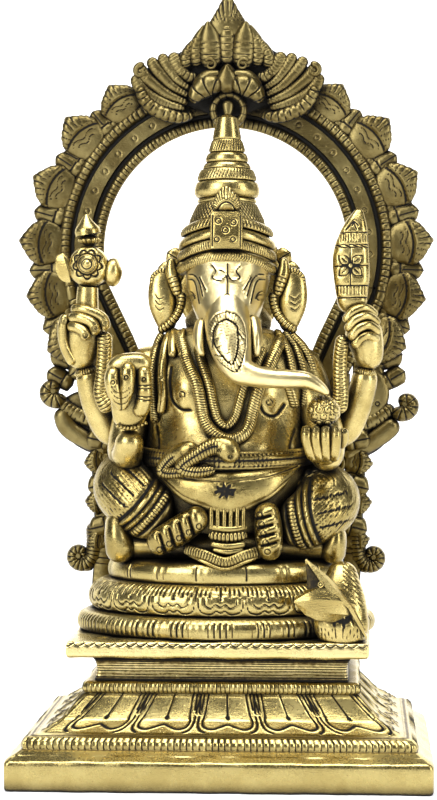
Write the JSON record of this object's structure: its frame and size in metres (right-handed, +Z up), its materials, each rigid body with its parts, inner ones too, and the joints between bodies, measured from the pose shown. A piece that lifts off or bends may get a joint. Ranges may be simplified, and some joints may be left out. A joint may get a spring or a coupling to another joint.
{
  "type": "seated elephant-headed deity idol with arch",
  "caption": "Cast brass seated elephant-headed deity on an oval lotus seat and a stepped plinth, with a leafy arch that lifts out of two sockets behind it.",
  "frame": {"origin": "middle of the plinth's underside", "axes": "+Z up, -Y towards the figure's front, +X towards the figure's own left (the viewer's right)"},
  "size_m": [0.1384, 0.1, 0.254],
  "materials": {
    "plinth_brass": "satin antique, dark in the chased lines",
    "figure_brass": "polished antique, dark in the recesses",
    "arch_brass": "satin antique, dark in the recesses",
    "steel": "plain zinc-plated"
  },
  "bodies": {
    "idol": {"axe": "figure_brass", "centre_stud": "steel", "crown_band": "figure_brass", "crown_dome": "figure_brass", "crown_spire": "figure_brass", "dhoti_apron": "figure_brass", "garland": "figure_brass", "head": "figure_brass", "head_halo": "figure_brass", "left_ear": "figure_brass", "left_foot": "figure_brass", "left_front_arm": "figure_brass", "left_front_hand": "figure_brass", "left_leg": "figure_brass", "left_rear_arm": "figure_brass", "left_rear_hand": "figure_brass", "left_sash": "figure_brass", "left_tusk": "figure_brass", "lotus_bud": "figure_brass", "lotus_seat": "plinth_brass", "mouse": "figure_brass", "plinth_foot": "plinth_brass", "plinth_platform": "plinth_brass", "right_ear": "figure_brass", "right_foot": "figure_brass", "right_front_arm": "figure_brass", "right_front_hand": "figure_brass", "right_leg": "figure_brass", "right_rear_arm": "figure_brass", "right_rear_hand": "figure_brass", "right_sash": "figure_brass", "right_tusk": "figure_brass", "seat_cushion": "plinth_brass", "snake_head": "figure_brass", "stud_nut": "steel", "stud_washer": "steel", "sweet_heap": "figure_brass", "torso": "figure_brass", "trunk": "figure_brass", "waist_belt": "figure_brass"},
    "arch": {"arch_crest": "arch_brass", "arch_frame": "arch_brass", "left_foot_scroll": "arch_brass", "left_leaf_border": "arch_brass", "left_shoulder_scroll": "arch_brass", "right_foot_scroll": "arch_brass", "right_leaf_border": "arch_brass", "right_shoulder_scroll": "arch_brass"}
  },
  "joints": [
    {"name": "arch_lift", "type": "slide", "parent": "idol", "child": "arch", "axis": [0, 0, 1], "range_m": [0, 0.01]}
  ]
}
